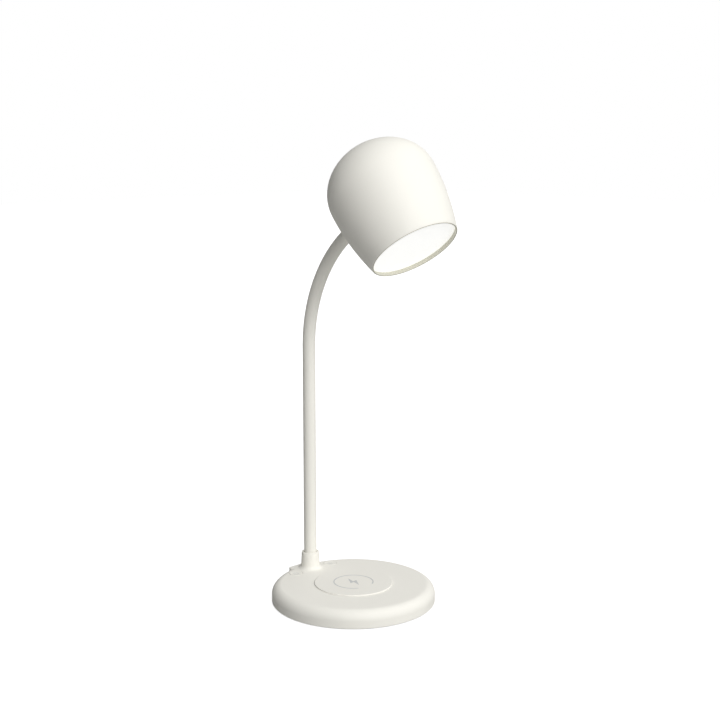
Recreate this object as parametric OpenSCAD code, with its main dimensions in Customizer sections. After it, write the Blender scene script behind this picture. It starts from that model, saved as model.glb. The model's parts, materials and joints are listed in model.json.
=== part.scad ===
// Gooseneck desk lamp on a round base with a charging pad.
// Millimetres. Origin: centre of the base on the table. +Z is up, the front of the lamp looks to -Y,
// and the neck stands at the back, at +Y.

/* [Base] */
// Outer diameter of the base
base_d = 150; // [148:1:175]
// Height of the base's flat top above the table
base_h = 16.5; // [16.5:0.5:22]
// Radius of the round edge at the top of the base
base_edge_r = 8.7; // [6:0.1:9]
// Small bevel at the foot of the base's side
base_bevel = 0.6; // [0.2:0.1:1]
// Wall of the moulded top cover
cover_wall = 2.2; // [1.8:0.1:2.6]

/* [Anti-slip pad and base plate] */
// How far the silicone pad's edge stands in from the base's edge
foot_inset = 8; // [6:0.5:14]
// Thickness of the silicone pad
foot_t = 2; // [1.6:0.1:2.4]
// How far the pad lifts the cover off the table
foot_rise = 0.8; // [0.4:0.1:1.2]
// Thickness of the base plate
plate_t = 2.8; // [2.4:0.1:3.2]

/* [Ballast] */
// Gap between the steel weight and the cover's side
ballast_inset = 6.8; // [5:0.1:12]
// Thickness of the steel weight
ballast_t = 4.6; // [4:0.1:5]

/* [Charging pad] */
// Diameter of the raised charging pad
pad_d = 72; // [60:1:80]
// How far the pad stands above the cover
pad_rise = 1; // [0.4:0.1:2]
// Depth of the pad's seat in the cover
pad_sink = 1; // [0.6:0.1:1.2]
// Radius of the pad's upper edge
pad_edge_r = 0.7; // [0.2:0.1:0.9]
// Outer diameter of the charging coil
coil_d = 43; // [36:1:46]
// Inner diameter of the charging coil
coil_inner_d = 20.5; // [16:0.5:24]
// Thickness of the charging coil
coil_t = 1; // [0.8:0.1:1.1]
// Diameter of the ferrite sheet under the coil
ferrite_d = 48; // [47:1:50]
// Thickness of the ferrite sheet
ferrite_t = 0.8; // [0.5:0.1:0.9]
// Diameter of the coil carrier's plate
carrier_d = 62; // [61:1:66]
// Thickness of the coil carrier's plate
carrier_t = 1.2; // [1:0.1:1.3]

/* [Keys] */
// Diameter of a key
key_d = 12.5; // [10:0.1:13]
// Gap round a key
key_gap = 0.25; // [0.15:0.05:0.4]
// Distance from the base's edge to the middle of a key
key_inset = 15; // [14:0.5:17]
// Angle from the neck to each key
key_angle = 21; // [19:0.5:30]
// How far a key travels
key_travel = 0.5; // [0.3:0.1:0.5]
// How far a key stands above the cover
key_proud = 0.15; // [0:0.05:0.4]
// Depth of the hollow in a key's top
key_dish = 0.4; // [0.2:0.05:0.5]

/* [Neck] */
// Outer diameter of the neck
neck_d = 11.8; // [11:0.1:12.4]
// Bore for the lamp's wires
wire_bore_d = 5; // [4:0.1:5.5]
// Distance from the base's edge to the middle of the neck
neck_inset = 15.2; // [15:0.1:17]
// Height at which the neck starts to curve
neck_arc_z = 230; // [200:1:260]
// Radius of the neck's curve
neck_bend_r = 133; // [115:1:150]
// Straight end of the neck, from the curve to the shade
neck_end_len = 13.7; // [12:0.1:20]
// Height of the lowest joint of the neck
first_joint_z = 50; // [46:1:56]
// Diameter of a link's ball
ball_d = 11; // [10:0.1:11]
// Clearance round a ball in its cup
ball_gap = 0.2; // [0.15:0.05:0.25]
// Groove between two links
link_groove = 2.4; // [2.2:0.1:2.8]

/* [Collar] */
// Outer diameter of the collar at its foot
collar_foot_d = 18; // [17.6:0.1:19]
// Outer diameter of the collar at its top
collar_top_d = 16.4; // [16:0.1:17.4]
// Height of the collar above the base
collar_h = 16.3; // [12:0.1:20]
// Radius of the round fillet at the collar's foot
collar_fillet_r = 4; // [2:0.1:4.5]
// Gap between the collar and the neck
collar_gap = 0.3; // [0.2:0.05:0.5]

/* [Power inlet] */
// Width of the block that holds the inlet
block_w = 30; // [26:1:34]
// How far the block's back stands out of the base's side
block_proud = 0.2; // [0.1:0.1:1]
// Radius of the block's upright corners
block_corner_r = 3; // [2:0.1:4]
// Radius of the block's top edges
block_edge_r = 1.5; // [0.5:0.1:2]
// Width of the inlet's metal shell
inlet_w = 8.94; // [8.8:0.01:9.1]
// Height of the inlet's metal shell
inlet_h = 3.26; // [3.1:0.01:3.4]
// Length of the inlet's metal shell
inlet_len = 7.35; // [6.5:0.05:7.5]
// Width of the recess for the plug's body
plug_w = 12.8; // [12:0.1:14]
// Height of the recess for the plug's body
plug_h = 6.6; // [6:0.1:7]
// Depth of the recess for the plug's body
plug_sink = 1; // [0.6:0.1:1.2]

/* [Shade] */
// Diameter of the shade at its lip
shade_lip_d = 79.3; // [74:0.1:84]
// Largest diameter of the shade
shade_d = 98.1; // [92:0.1:106]
// Height of the shade from lip to crown
shade_h = 104.4; // [98:0.1:112]
// Height of the widest place above the lip
shade_wide_z = 62.5; // [60:0.1:68]
// Wall of the shade
shade_wall = 2; // [1.6:0.1:2.4]
// Thickness of the shade at its lip
lip_t = 1.3; // [1:0.1:1.6]
// Lean of the shade from the upright
shade_tilt = 38.2; // [32:0.1:45]
// Height of the neck's seat above the lip
neck_seat_z = 57.8; // [54:0.1:60]
// Diameter of the boss where the neck enters the shade
boss_d = 15.6; // [15:0.1:17]
// How far the boss stands out of the shade
boss_h = 2.2; // [1.5:0.1:3]

/* [Light unit] */
// Depth of the diffuser's face inside the lip
diffuser_sink = 4; // [3:0.1:6]
// Thickness of the diffuser
diffuser_t = 2; // [1.5:0.1:2.5]
// Gap round the diffuser
diffuser_gap = 0.25; // [0.15:0.05:0.35]
// Width of the ledge behind the diffuser
ledge_w = 1.5; // [1.2:0.1:1.8]
// Height of the LED board above the lip
board_z = 18; // [16:0.5:22]
// Diameter of the LED board
led_board_d = 69; // [64:0.5:69]
// Thickness of the LED board
led_board_t = 1.2; // [1:0.1:1.6]
// Diameter of the heat plate
heat_plate_d = 82; // [81:0.5:84]
// Thickness of the heat plate
heat_plate_t = 2; // [1.5:0.1:3]
// Radius of the circle of the heat plate's screws
head_screw_r = 38.2; // [38:0.1:38.4]
// Number of LEDs on the inner ring
inner_leds = 8; // [6:1:10]
// Number of LEDs on the outer ring
outer_leds = 16; // [12:1:20]

/* [Hidden] */
$fn = 96;
eps = 0.01;
LINKS = 11;
STRAIGHT_LINKS = 7;

ivory = [0.95, 0.94, 0.90];
key_ivory = [0.93, 0.92, 0.88];
steel = [0.62, 0.63, 0.65];
zinc = [0.75, 0.75, 0.72];
silicone_grey = [0.55, 0.55, 0.54];
board_green = [0.10, 0.36, 0.20];
board_white = [0.92, 0.93, 0.94];
opal = [1.0, 1.0, 0.97];
copper = [0.72, 0.42, 0.20];
ferrite_black = [0.13, 0.13, 0.14];
black_plastic = [0.10, 0.10, 0.10];

// Base from below
foot_d = base_d - 2 * foot_inset;
foot_gap = 0.2;
plate_top_z = foot_rise + plate_t;
plate_gap = 0.2;
ballast_top_z = plate_top_z + ballast_t;
inner_top_z = base_h - cover_wall;
base_r = base_d / 2;
flat_r = base_r - base_edge_r;
inner_r = base_r - cover_wall;
ballast_d = 2 * (inner_r - ballast_inset);
block_back_y = base_r + block_proud;
neck_y = base_r - neck_inset;
key_circle_r = base_r - key_inset;
pad_gap = 0.1;
inlet_gap = 0.15;

// Screws of the base: three below, under the anti-slip pad
base_screw_inset = 11.3;
base_screw_r = inner_r - base_screw_inset;
base_screw_angles = [-90, 30, 150];
base_screw_seat_z = foot_t + 0.4;
base_screw_len = 8;
screw_hole_gap = 0.1;
head_gap = 0.3;
big_screw_d = 2.9;
big_head_d = 5.6;
big_head_t = 1.4;
big_post_d = 7.5;
big_post_gap = 0.5;
small_screw_d = 1.9;
small_head_d = 4;
small_head_t = 1.2;
small_post_d = 5;
post_end_gap = 0.2;
post_root = 0.8;

// Board of the base, hung on posts under the cover
main_board_t = 1.2;
board_head_gap = 0.2;
main_board_z = ballast_top_z + board_head_gap + small_head_t;
main_board_top_z = main_board_z + main_board_t;
main_board_r = flat_r + 0.2;
main_board_depth = 35;
main_board_front_y = base_r - main_board_depth;
main_board_gap = 0.6;
board_post_inset = 15;
board_post_r = base_r - board_post_inset;
board_post_angle = 36.87;
board_screw_len = 4.6;
board_post_gap = 0.1;
board_posts = concat(
  [for (side = [-1, 1]) board_post_r * [side * sin(board_post_angle), cos(board_post_angle)]],
  [[0, main_board_front_y + small_post_d / 2 + 1]]
);

// Keys and their switches
key_hole_d = key_d + 2 * key_gap;
key_flange_w = 0.8;
key_flange_d = key_d + 2 * key_flange_w;
key_flange_t = 0.9;
key_rest_gap = 0.2;
key_bottom_z = inner_top_z - key_rest_gap - key_flange_t;
key_edge_r = 0.35;
switch_w = 6;
switch_gap = 0.1;
plunger_t = 0.4;
plunger_d = 3.2;
switch_t = key_bottom_z - key_travel - switch_gap - plunger_t - main_board_top_z;

// Charging coil, from the cover downwards
ferrite_z = inner_top_z - coil_t - ferrite_t;
carrier_z = ferrite_z - carrier_t;
carrier_screw_inset = 3.4;
carrier_screw_r = carrier_d / 2 - carrier_screw_inset;
carrier_screw_len = 3.4;
carrier_hole_root = 0.5;
carrier_screw_angles = [90, 210, 330];

// Fastening of the neck in the base
stud_d = 12;
stud_gap = 0.1;
flange_d = 17;
flange_t = 1.2;
nut_t = 2.2;
nut_flats = 17;
nut_fit = 0.05;
nut_well_d = 22;
nut_well_t = 2.4;
spigot_d = 8.1;
spigot_len = 12;
spigot_fit = 0.05;
spigot_end_gap = 0.3;
neck_foot_z = ballast_top_z + flange_t;
collar_bore_d = neck_d + 2 * collar_gap;
collar_top_z = base_h + collar_h;

// Path of the neck: upright, then a curve that leans to the front, then straight into the shade.
// A place on it is its distance s above the lowest joint.
straight_len = neck_arc_z - first_joint_z;
arc_sweep = 90 - shade_tilt;
arc_len = neck_bend_r * arc_sweep * PI / 180;
arc_end_s = straight_len + arc_len;
tube_seat_depth = 0.7;
tube_end_gap = 0.2;
tube_end_s = arc_end_s + neck_end_len - tube_seat_depth;
foot_s = neck_foot_z - first_joint_z;

function arc_lean(s) = (s - straight_len) / neck_bend_r * 180 / PI;
function lean_at(s) = max(0, min(arc_sweep, arc_lean(s)));
function arc_point(lean) = [0, neck_y - neck_bend_r * (1 - cos(lean)), neck_arc_z + neck_bend_r * sin(lean)];
function heading(lean) = [0, -sin(lean), cos(lean)];
function point_at(s) =
  s <= straight_len ? [0, neck_y, first_joint_z + s]
  : arc_point(lean_at(s)) + max(0, s - arc_end_s) * heading(arc_sweep);
function joint_s(i) =
  i <= STRAIGHT_LINKS ? straight_len * i / STRAIGHT_LINKS
  : straight_len + arc_len * (i - STRAIGHT_LINKS) / (LINKS - STRAIGHT_LINKS);

// Profile of the shade, measured from its lip
shade_r = shade_d / 2;
lip_r = shade_lip_d / 2;
skirt_steps = 16;
crown_steps = 18;
function bulge(z, lip, wide) = wide - (wide - lip) * pow((shade_wide_z - z) / shade_wide_z, 2);
function outer_r_at(z) = bulge(z, lip_r, shade_r);
function inner_r_at(z) = bulge(z, lip_r - lip_t, shade_r - shade_wall);
function crown_curve(r, top) =
  [for (i = [0:crown_steps]) let (a = 90 * i / crown_steps)
    [r * cos(a), shade_wide_z + (top - shade_wide_z) * sin(a)]];
function skirt_curve(lip, wide, from_z) =
  [for (i = [0:skirt_steps - 1]) let (z = from_z + (shade_wide_z - from_z) * i / skirt_steps)
    [bulge(z, lip, wide), z]];

// Place of the shade: its axis passes the neck's end at the height neck_seat_z
shade_axis_point = arc_point(arc_sweep) + (neck_end_len + outer_r_at(neck_seat_z)) * heading(arc_sweep);

// Fastening of the neck in the shade, as distances from the shade's axis
boss_face_w = outer_r_at(neck_seat_z) + boss_h;
tube_end_w = outer_r_at(neck_seat_z) + tube_seat_depth;
seat_w = tube_end_w - tube_end_gap;
inner_boss_h = 4;
inner_boss_w = shade_r - shade_wall - inner_boss_h;
inner_boss_d = 22;
boss_edge_r = 0.6;
head_stud_d = 10;
head_spigot_len = 7;
washer_t = 0.8;
washer_d = 18;
head_nut_t = 2.5;
head_nut_flats = 14;
head_stud_reach = 1.2;
head_stud_end_w = inner_boss_w - washer_t - head_nut_t - head_stud_reach;

// Light unit
diffuser_back_z = diffuser_sink + diffuser_t;
ledge_t = 1.2;
ledge_r = inner_r_at(diffuser_back_z) - ledge_w;
hook_angles = [90, 210, 330];
hook_w = 5;
hook_t = 1.2;
hook_nose = 0.7;
hook_nose_h = 1.3;
hook_gap = 0.2;
hook_top_z = diffuser_back_z + ledge_t + hook_gap + hook_nose_h;
reflector_t = 1;
reflector_gap = 0.3;
reflector_end_gap = 0.2;
heat_plate_z = board_z + led_board_t;
heat_plate_top_z = heat_plate_z + heat_plate_t;
head_post_d = 6;
head_post_top_z = 46;
head_screw_bite = 6;
head_hole_depth = head_screw_bite + 4;
head_post_angles = [-90, 30, 150];
head_rib_t = 2;
led_w = 2.8;
led_l = 3.5;
led_t = 0.7;
inner_led_r = 13;
outer_led_r = 27;
wire_d = 1.8;
wire_bend_r = 12;
wire_in_stud = 5;

// ---- helpers ----

// Disc with a round upper edge, standing on z = 0
module round_edged_disc(r, h, edge) {
  rotate_extrude() {
    square([r - edge, h]);
    square([r, h - edge]);
    translate([r - edge, h - edge])
      intersection() {
        circle(r = edge);
        square(edge);
      }
  }
}

// Puts the children at an angle on a circle about the Z axis
module on_circle(r, angle) {
  rotate([0, 0, angle])
    translate([r, 0, 0])
      children();
}

// Pan-head screw that points up from z = 0, with its head below
module screw(d, len, head_d, head_t) {
  translate([0, 0, -head_t]) {
    cylinder(h = head_t + len, d = d);
    cylinder(h = head_t, d = head_d);
  }
}

module hexagon_nut(flats, h) {
  cylinder(h = h, d = flats / cos(30), $fn = 6);
}

// Puts the children on the neck's path, with +Z along the neck
module on_neck(s) {
  translate(point_at(s))
    rotate([lean_at(s), 0, 0])
      children();
}

// Round rod along a straight stretch of the neck's path, from s0 to s1
module straight_rod(s0, s1, d) {
  on_neck(s0)
    cylinder(h = s1 - s0, d = d);
}

// Round rod along the neck's curve, from s0 to s1
module curved_rod(s0, s1, d) {
  translate([0, neck_y - neck_bend_r, neck_arc_z])
    rotate([90, 0, 90])
      rotate([0, 0, arc_lean(s0)])
        rotate_extrude(angle = arc_lean(s1) - arc_lean(s0), $fn = 200)
          translate([neck_bend_r, 0])
            circle(d = d);
}

// Puts the children in the shade's own frame: lip at z = 0, crown up, neck at +Y
module in_head() {
  translate(shade_axis_point)
    rotate([-shade_tilt, 0, 0])
      translate([0, 0, -neck_seat_z])
        children();
}

// Puts the children in the shade's frame at the neck's seat, with +Z out along the neck from w
module on_seat(w) {
  in_head()
    translate([0, w, neck_seat_z])
      rotate([-90, 0, 0])
        children();
}

// ---- base ----

// Outside of the base, without the collar
module base_body() {
  translate([0, 0, foot_rise])
    round_edged_disc(base_r, base_h - foot_rise, base_edge_r);
  inlet_block(base_h, 0);
}

// Block at the back, flush with the top, drawn in by inset for its hollow
module inlet_block(top_z, inset) {
  half_w = block_w / 2 - inset;
  back_y = block_back_y - inset;
  edge = max(block_edge_r - inset, eps);
  corner = max(block_corner_r - inset, 1);
  intersection() {
    translate([0, 0, foot_rise])
      linear_extrude(top_z - foot_rise) {
        translate([-half_w, 0])
          square([2 * half_w, back_y - corner]);
        translate([-half_w + corner, 0])
          square([2 * (half_w - corner), back_y]);
        for (side = [-1, 1])
          translate([side * (half_w - corner), back_y - corner])
            circle(r = corner);
      }
    // Round edge along the back
    translate([-half_w - 1, 0, 0])
      rotate([90, 0, 90])
        linear_extrude(2 * half_w + 2) {
          square([back_y - edge, top_z]);
          square([back_y, top_z - edge]);
          translate([back_y - edge, top_z - edge])
            circle(r = edge);
        }
    // Round edges along the sides
    rotate([90, 0, 0])
      translate([0, 0, -back_y - 1])
        linear_extrude(back_y + 1) {
          translate([-half_w + edge, 0])
            square([2 * (half_w - edge), top_z]);
          translate([-half_w, 0])
            square([2 * half_w, top_z - edge]);
          for (side = [-1, 1])
            translate([side * (half_w - edge), top_z - edge])
              circle(r = edge);
        }
  }
}

// Tapered collar round the neck, with a round lip and a fillet at its foot
module collar() {
  wall = (collar_top_d - collar_bore_d) / 2;
  foot_r = collar_foot_d / 2;
  translate([0, neck_y, 0])
    rotate_extrude() {
      polygon([
        [0, inner_top_z], [foot_r, inner_top_z], [foot_r, base_h],
        [collar_top_d / 2, collar_top_z - wall / 2], [0, collar_top_z - wall / 2]
      ]);
      translate([collar_top_d / 2 - wall / 2, collar_top_z - wall / 2])
        circle(d = wall);
      difference() {
        translate([0, inner_top_z])
          square([foot_r + collar_fillet_r, cover_wall + collar_fillet_r]);
        translate([foot_r + collar_fillet_r, base_h + collar_fillet_r])
          circle(r = collar_fillet_r);
      }
    }
}

// Room inside the cover
module cover_hollow() {
  translate([0, 0, -eps])
    round_edged_disc(inner_r, inner_top_z + eps, base_edge_r - cover_wall);
  translate([0, 0, -foot_rise])
    inlet_block(inner_top_z + foot_rise, cover_wall);
}

module cover_posts() {
  for (a = base_screw_angles)
    on_circle(base_screw_r, a)
      translate([0, 0, plate_top_z + post_end_gap])
        cylinder(h = inner_top_z + post_root - plate_top_z - post_end_gap, d = big_post_d);
  for (p = board_posts)
    translate([p[0], p[1], main_board_top_z + board_post_gap])
      cylinder(h = inner_top_z + post_root - main_board_top_z - board_post_gap, d = small_post_d);
  for (a = carrier_screw_angles)
    on_circle(carrier_screw_r, a)
      translate([0, 0, ferrite_z])
        cylinder(h = inner_top_z - ferrite_z + eps, d = small_post_d);
}

module cover_holes() {
  translate([0, 0, base_h - pad_sink])
    cylinder(h = pad_sink + 1, d = pad_d + 2 * pad_gap);
  for (side = [-1, 1])
    on_circle(key_circle_r, 90 + side * key_angle)
      translate([0, 0, inner_top_z - 1])
        cylinder(h = cover_wall + 2, d = key_hole_d);
  translate([0, neck_y, inner_top_z - 1])
    cylinder(h = collar_top_z, d = collar_bore_d);
  for (a = base_screw_angles)
    on_circle(base_screw_r, a)
      cylinder(h = inner_top_z, d = big_screw_d + 2 * screw_hole_gap);
  for (p = board_posts)
    translate([p[0], p[1], 0])
      cylinder(h = inner_top_z + post_root, d = small_screw_d + 2 * screw_hole_gap);
  for (a = carrier_screw_angles)
    on_circle(carrier_screw_r, a)
      cylinder(h = inner_top_z + carrier_hole_root, d = small_screw_d + 2 * screw_hole_gap);
  inlet_slot(inlet_w + 2 * inlet_gap, inlet_h + 2 * inlet_gap, cover_wall + 1);
  inlet_slot(plug_w, plug_h, plug_sink);
}

// Slot with round ends in the block's back wall, to a depth from its face
module inlet_slot(w, h, depth) {
  translate([0, block_back_y - depth, main_board_top_z + inlet_h / 2])
    rotate([-90, 0, 0])
      linear_extrude(depth + 1)
        rounded_slot(w, h);
}

module base_bevel_cut() {
  translate([0, 0, foot_rise])
    rotate_extrude()
      polygon([
        [base_r - base_bevel, -eps], [base_r + 1, -eps],
        [base_r + 1, base_bevel + 1], [base_r, base_bevel]
      ]);
}

module base_cover() {
  color(ivory)
    difference() {
      union() {
        difference() {
          base_body();
          cover_hollow();
          base_bevel_cut();
        }
        collar();
        cover_posts();
      }
      cover_holes();
    }
}

module base_plate() {
  color(black_plastic)
    difference() {
      union() {
        translate([0, 0, foot_rise])
          cylinder(h = plate_t, r = inner_r - plate_gap);
        // Tongue into the inlet's block
        intersection() {
          inlet_block(inner_top_z, cover_wall + plate_gap);
          translate([0, 0, foot_rise])
            cylinder(h = plate_t, r = base_d);
        }
      }
      translate([0, 0, -eps])
        cylinder(h = foot_t + eps, d = foot_d + 2 * foot_gap);
      for (a = base_screw_angles)
        on_circle(base_screw_r, a) {
          cylinder(h = base_h, d = big_screw_d + 2 * screw_hole_gap);
          cylinder(h = base_screw_seat_z, d = big_head_d + 2 * head_gap);
        }
    }
}

module anti_slip_pad() {
  color(silicone_grey)
    difference() {
      cylinder(h = foot_t, d = foot_d);
      for (a = base_screw_angles)
        on_circle(base_screw_r, a)
          translate([0, 0, base_screw_seat_z - big_head_t])
            cylinder(h = big_head_t, d = big_head_d + 2 * head_gap);
    }
}

module ballast() {
  color(steel)
    difference() {
      translate([0, 0, plate_top_z])
        cylinder(h = ballast_t, d = ballast_d);
      for (a = base_screw_angles)
        on_circle(base_screw_r, a)
          cylinder(h = base_h, d = big_post_d + 2 * big_post_gap);
      for (a = base_screw_angles)
        on_circle(base_screw_r + big_post_d, a)
          translate([0, 0, base_h / 2])
            cube([2 * big_post_d, big_post_d + 2 * big_post_gap, base_h], center = true);
      translate([0, neck_y, 0]) {
        cylinder(h = base_h, d = stud_d + 2 * stud_gap);
        cylinder(h = plate_top_z + nut_well_t, d = nut_well_d);
      }
    }
}

module base_screws() {
  color(zinc)
    for (a = base_screw_angles)
      on_circle(base_screw_r, a)
        translate([0, 0, base_screw_seat_z])
          screw(big_screw_d, base_screw_len, big_head_d, big_head_t);
}

module charging_pad() {
  color(ivory)
    translate([0, 0, base_h - pad_sink])
      round_edged_disc(pad_d / 2, pad_sink + pad_rise, pad_edge_r);
}

module charging_coil() {
  color(copper)
    translate([0, 0, inner_top_z - coil_t])
      difference() {
        cylinder(h = coil_t, d = coil_d);
        translate([0, 0, -1])
          cylinder(h = coil_t + 2, d = coil_inner_d);
      }
}

module ferrite_sheet() {
  color(ferrite_black)
    translate([0, 0, ferrite_z])
      cylinder(h = ferrite_t, d = ferrite_d);
}

module coil_carrier() {
  color(black_plastic)
    difference() {
      translate([0, 0, carrier_z])
        cylinder(h = carrier_t, d = carrier_d);
      translate([0, 0, carrier_z - 1])
        cylinder(h = carrier_t + 2, d = coil_inner_d);
      for (a = carrier_screw_angles)
        on_circle(carrier_screw_r, a)
          cylinder(h = base_h, d = small_screw_d + 2 * screw_hole_gap);
    }
}

// Equal small screws of the board and the coil carrier
module inner_screws() {
  color(zinc) {
    for (p = board_posts)
      translate([p[0], p[1], main_board_z])
        screw(small_screw_d, board_screw_len, small_head_d, small_head_t);
    for (a = carrier_screw_angles)
      on_circle(carrier_screw_r, a)
        translate([0, 0, carrier_z])
          screw(small_screw_d, carrier_screw_len, small_head_d, small_head_t);
  }
}

module main_board() {
  color(board_green)
    difference() {
      translate([0, 0, main_board_z])
        linear_extrude(main_board_t) {
          intersection() {
            circle(r = main_board_r);
            translate([-main_board_r, main_board_front_y])
              square([2 * main_board_r, main_board_r]);
          }
          translate([-inlet_w, main_board_front_y])
            square([2 * inlet_w, inner_r - main_board_gap - main_board_front_y]);
        }
      translate([0, neck_y, 0])
        cylinder(h = base_h, d = neck_d + 2 * main_board_gap);
      for (p = board_posts)
        translate([p[0], p[1], 0])
          cylinder(h = base_h, d = small_screw_d + 2 * screw_hole_gap);
    }
}

module key_switches() {
  color(black_plastic)
    for (side = [-1, 1])
      on_circle(key_circle_r, 90 + side * key_angle)
        translate([0, 0, main_board_top_z]) {
          translate([-switch_w / 2, -switch_w / 2, 0])
            cube([switch_w, switch_w, switch_t]);
          cylinder(h = switch_t + plunger_t, d = plunger_d);
        }
}

// Metal shell with round ends and the thin tongue inside it
module power_inlet() {
  shell_t = 0.35;
  tongue_t = 0.7;
  back_y = block_back_y - plug_sink - 0.1 - inlet_len;
  color(steel)
    translate([0, back_y, main_board_top_z + inlet_h / 2])
      rotate([-90, 0, 0]) {
        difference() {
          linear_extrude(inlet_len)
            rounded_slot(inlet_w, inlet_h);
          translate([0, 0, 1])
            linear_extrude(inlet_len)
              rounded_slot(inlet_w - 2 * shell_t, inlet_h - 2 * shell_t);
        }
        translate([-(inlet_w - inlet_h) / 2, -tongue_t / 2, 0])
          cube([inlet_w - inlet_h, tongue_t, inlet_len - 1]);
      }
}

module rounded_slot(w, h) {
  square([w - h, h], center = true);
  for (side = [-1, 1])
    translate([side * (w - h) / 2, 0])
      circle(d = h);
}

// ---- keys ----

module key(side) {
  color(key_ivory)
    on_circle(key_circle_r, 90 + side * key_angle)
      difference() {
        union() {
          translate([0, 0, key_bottom_z])
            cylinder(h = key_flange_t, d = key_flange_d);
          translate([0, 0, key_bottom_z])
            round_edged_disc(key_d / 2, base_h + key_proud - key_bottom_z, key_edge_r);
        }
        // Hollow for the fingertip: a sphere that cuts the top to the depth key_dish
        hollow_r = pow(key_d / 2 - 1, 2) / (2 * key_dish) + key_dish / 2;
        translate([0, 0, base_h + key_proud - key_dish + hollow_r])
          sphere(r = hollow_r);
      }
}

module power_key() {
  key(1);
}

module dimmer_key() {
  key(-1);
}

// ---- neck ----

module neck_ferrule() {
  color(steel)
    translate([0, neck_y, 0])
      difference() {
        union() {
          translate([0, 0, plate_top_z + plate_gap])
            cylinder(h = ballast_t, d = stud_d);
          translate([0, 0, ballast_top_z])
            cylinder(h = flange_t, d = flange_d);
          translate([0, 0, ballast_top_z])
            cylinder(h = flange_t + spigot_len, d = spigot_d);
        }
        cylinder(h = neck_arc_z, d = wire_bore_d);
      }
}

module neck_nut() {
  color(zinc)
    translate([0, neck_y, plate_top_z + nut_well_t - nut_t])
      difference() {
        hexagon_nut(nut_flats, nut_t);
        translate([0, 0, -1])
          cylinder(h = nut_t + 2, d = stud_d + 2 * nut_fit);
      }
}

// Lowest piece of the neck, on the ferrule's flange
module neck_foot() {
  color(ivory)
    difference() {
      translate([0, neck_y, neck_foot_z])
        cylinder(h = -link_groove / 2 - foot_s, d = neck_d);
      translate([0, neck_y, 0])
        cylinder(h = first_joint_z, d = wire_bore_d);
      translate([0, neck_y, neck_foot_z - 1])
        cylinder(h = 1 + spigot_len + spigot_end_gap, d = spigot_d + 2 * spigot_fit);
      ball_cup(0);
    }
}

module ball_cup(i) {
  on_neck(joint_s(i))
    sphere(d = ball_d + 2 * ball_gap);
}

module link_rod(i, s0, s1, d) {
  if (i <= STRAIGHT_LINKS)
    straight_rod(s0, s1, d);
  else
    curved_rod(s0, s1, d);
}

// Link from joint i - 1 to joint i: a ball below, a cup above and a bore for the wires
module neck_link(i) {
  from_s = joint_s(i - 1);
  to_s = joint_s(i);
  color(ivory)
    difference() {
      union() {
        link_rod(i, from_s + link_groove / 2, to_s - link_groove / 2, neck_d);
        on_neck(from_s)
          sphere(d = ball_d);
      }
      link_rod(i, from_s - ball_d, to_s, wire_bore_d);
      ball_cup(i);
    }
}

// Highest piece of the neck, from the last joint into the shade's boss
module neck_tip() {
  from_s = joint_s(LINKS);
  color(ivory)
    difference() {
      union() {
        straight_rod(from_s + link_groove / 2, tube_end_s, neck_d);
        on_neck(from_s)
          sphere(d = ball_d);
      }
      on_seat(0)
        cylinder(h = shade_d, d = wire_bore_d);
      on_seat(tube_end_w - 1)
        cylinder(h = 1 + head_spigot_len + spigot_end_gap, d = spigot_d + 2 * spigot_fit);
    }
}

// ---- head ----

module head_ferrule() {
  color(steel)
    difference() {
      union() {
        on_seat(head_stud_end_w)
          cylinder(h = seat_w - head_stud_end_w, d = head_stud_d);
        on_seat(seat_w - eps)
          cylinder(h = head_spigot_len, d = spigot_d);
      }
      on_seat(0)
        cylinder(h = shade_d, d = wire_bore_d);
    }
}

module head_washer() {
  color(zinc)
    on_seat(inner_boss_w - washer_t)
      difference() {
        cylinder(h = washer_t, d = washer_d);
        translate([0, 0, -1])
          cylinder(h = washer_t + 2, d = head_stud_d + 2 * stud_gap);
      }
}

module head_nut() {
  color(zinc)
    on_seat(inner_boss_w - washer_t - head_nut_t)
      difference() {
        hexagon_nut(head_nut_flats, head_nut_t);
        translate([0, 0, -1])
          cylinder(h = head_nut_t + 2, d = head_stud_d + 2 * nut_fit);
      }
}

// Solid inside of the shade's outer surface
module shade_outside() {
  rotate_extrude(convexity = 4)
    polygon(concat(
      [[0, 0], [lip_r - lip_t / 2, 0]],
      [for (a = [-60:30:-30]) [lip_r - lip_t / 2 + lip_t / 2 * cos(a), lip_t / 2 + lip_t / 2 * sin(a)]],
      skirt_curve(lip_r, shade_r, lip_t / 2),
      crown_curve(shade_r, shade_h)
    ));
}

// Room inside the shade
module shade_inside() {
  inner_lip_r = lip_r - lip_t;
  rotate_extrude(convexity = 4)
    polygon(concat(
      [[0, -1], [lip_r - lip_t / 2, -1], [lip_r - lip_t / 2, 0]],
      [for (a = [-120:-30:-150]) [lip_r - lip_t / 2 + lip_t / 2 * cos(a), lip_t / 2 + lip_t / 2 * sin(a)]],
      skirt_curve(inner_lip_r, shade_r - shade_wall, lip_t / 2),
      crown_curve(shade_r - shade_wall, shade_h - shade_wall)
    ));
}

// Ledge behind the diffuser, screw posts on ribs, and the boss for the neck
module shade_fittings() {
  translate([0, 0, diffuser_back_z])
    difference() {
      cylinder(h = ledge_t, r = lip_r + 1);
      translate([0, 0, -1])
        cylinder(h = ledge_t + 2, r = ledge_r);
    }
  for (a = head_post_angles)
    on_circle(head_screw_r, a)
      translate([0, 0, heat_plate_top_z]) {
        cylinder(h = head_post_top_z - heat_plate_top_z, d = head_post_d);
        translate([0, -head_rib_t / 2, 0])
          cube([shade_r - head_screw_r, head_rib_t, head_post_top_z - heat_plate_top_z]);
      }
  translate([0, inner_boss_w, neck_seat_z])
    rotate([-90, 0, 0])
      cylinder(h = shade_wall + inner_boss_h, d = inner_boss_d);
}

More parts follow.
